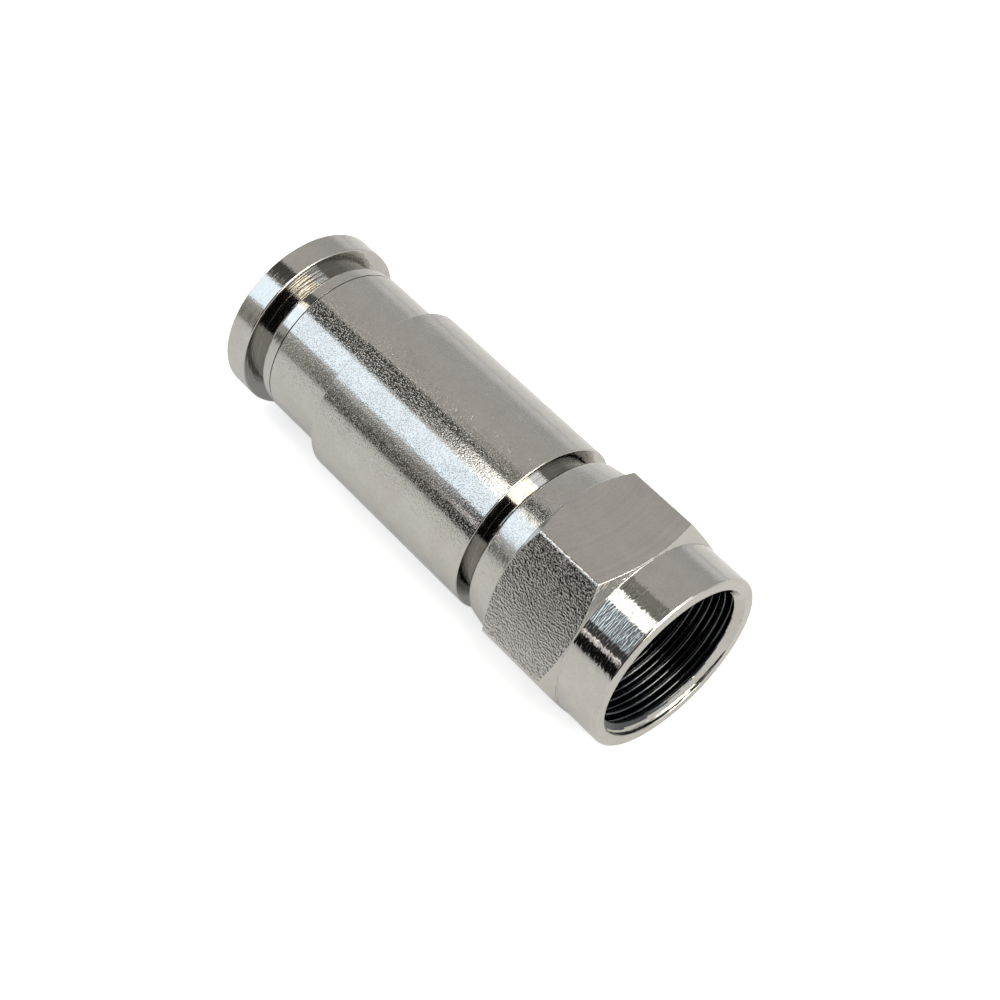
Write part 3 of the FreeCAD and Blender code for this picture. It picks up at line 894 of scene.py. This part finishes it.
# Name, lowest and highest along, lowest and highest turn, colour
CARDS = (
    ("upper_flag_rear", -0.98, -0.62, 93, 109, (0.2, 0.2, 0.19)),
    ("upper_flag", -0.62, -0.45, 94, 117, (0.12, 0.12, 0.115)),
    ("upper_flag_front", -0.45, -0.15, 85, 104, (0.5, 0.5, 0.475)),
    ("window_gap", -0.378, -0.1, 121, 149, (0.38, 0.43, 0.48)),
    ("side_board_top", -0.98, -0.62, 157, 167, (0.72, 0.7, 0.68)),
    ("side_flag_top", -0.98, -0.62, 167, 180, (0.25, 0.25, 0.25)),
    ("side_board_rear", -0.62, -0.54, 158, 180, (0.62, 0.61, 0.58)),
    ("side_card_upper", -0.54, -0.44, 149, 157, (0.95, 0.96, 0.98)),
    ("side_card", -0.54, -0.44, 157, 166, (0.36, 0.36, 0.35)),
    ("side_card_lower", -0.54, -0.44, 166, 179, (0.16, 0.16, 0.15)),
    ("side_flag_upper", -0.44, 0.15, 149, 159.6, (0.1, 0.1, 0.11)),
    ("side_board", -0.44, 0.15, 161.4, 163.1, (0.3, 0.26, 0.26)),
    ("side_flag", -0.44, 0.15, 164.1, 179.3, (0.01, 0.01, 0.01)),
    ("camera_shade", 0.2, 0.72, 113, 180, (0.01, 0.01, 0.01)),
)

FILL_PLACE = Vector((-0.2, 0.2, 1.0))
FILL_SIZE = 1.2
FILL_POWER = 3.15
FILL_COLOUR = (0.815, 0.91, 1.0)


def dome_direction(along, turn):
    across = math.sqrt(1 - along ** 2)
    return Vector((along, across * math.cos(turn * DEGREE), across * math.sin(turn * DEGREE)))


def add_light(name, shape, size, energy, colour, place):
    """An area light that the camera doesn't see."""
    data = bpy.data.lights.new(name, "AREA")
    data.shape = shape
    data.size = size
    data.energy = energy
    data.color = colour
    light = bpy.data.objects.new(name, data)
    light.location = place
    light.visible_camera = False
    bpy.context.scene.collection.objects.link(light)
    return light


def make_softbox(name, along, turn, width, height, radiance, colour):
    """A lamp on the dome, its width round the X axis. It faces the middle of the object."""
    direction = dome_direction(along, turn)
    energy = radiance * math.pi * width * height
    light = add_light(name, "RECTANGLE", width, energy, colour, DOME_MIDDLE + direction * DOME_RADIUS)
    light.data.size_y = height
    across = Vector((0, -math.sin(turn * DEGREE), math.cos(turn * DEGREE)))
    light.rotation_euler = Matrix((across, direction.cross(across), direction)).transposed().to_euler()


def make_fill():
    """Soft overhead light for the floor. It isn't mirrored in the metal."""
    light = add_light("fill_light", "DISK", FILL_SIZE, FILL_POWER, FILL_COLOUR, FILL_PLACE)
    light.rotation_euler = FILL_PLACE.to_track_quat("Z", "X").to_euler()
    light.visible_glossy = False


def make_card(name, along_low, along_high, turn_low, turn_high, colour):
    """A curved card on the dome, mirrored in the metal in place of the world behind it."""
    spots = []
    for along in np.linspace(along_low, along_high, CARD_POINTS):
        for turn in np.linspace(turn_low, turn_high, CARD_POINTS):
            spots.append(DOME_MIDDLE + dome_direction(float(along), float(turn)) * DOME_RADIUS)
    faces = []
    for column in range(CARD_POINTS - 1):
        for row in range(CARD_POINTS - 1):
            first = column * CARD_POINTS + row
            faces.append((first, first + 1, first + CARD_POINTS + 1, first + CARD_POINTS))
    mesh = bpy.data.meshes.new(name)
    mesh.from_pydata([tuple(spot) for spot in spots], [], faces)
    material = bpy.data.materials.new(name + "_felt")
    material.use_nodes = True
    shader = material.node_tree.nodes["Principled BSDF"]
    shader.inputs["Base Color"].default_value = (*colour, 1)
    shader.inputs["Roughness"].default_value = 1
    shader.inputs["Specular IOR Level"].default_value = 0
    mesh.materials.append(material)
    card = bpy.data.objects.new(name, mesh)
    bpy.context.scene.collection.objects.link(card)
    card.visible_camera = False


def make_camera():
    data = bpy.data.cameras.new("photo_camera")
    data.lens = CAMERA_LENS
    data.sensor_width = CAMERA_SENSOR
    data.clip_start = CAMERA_NEAR
    data.clip_end = CAMERA_FAR
    camera = bpy.data.objects.new("photo_camera", data)
    camera.location = CAMERA_PLACE
    camera.rotation_euler = CAMERA_TURN
    bpy.context.scene.collection.objects.link(camera)
    bpy.context.scene.camera = camera


make_floor()
make_world()
make_camera()
for softbox in SOFTBOXES:
    make_softbox(*softbox)
for card in CARDS:
    make_card(*card)
make_fill()

bpy.context.scene.view_settings.view_transform = "Standard"
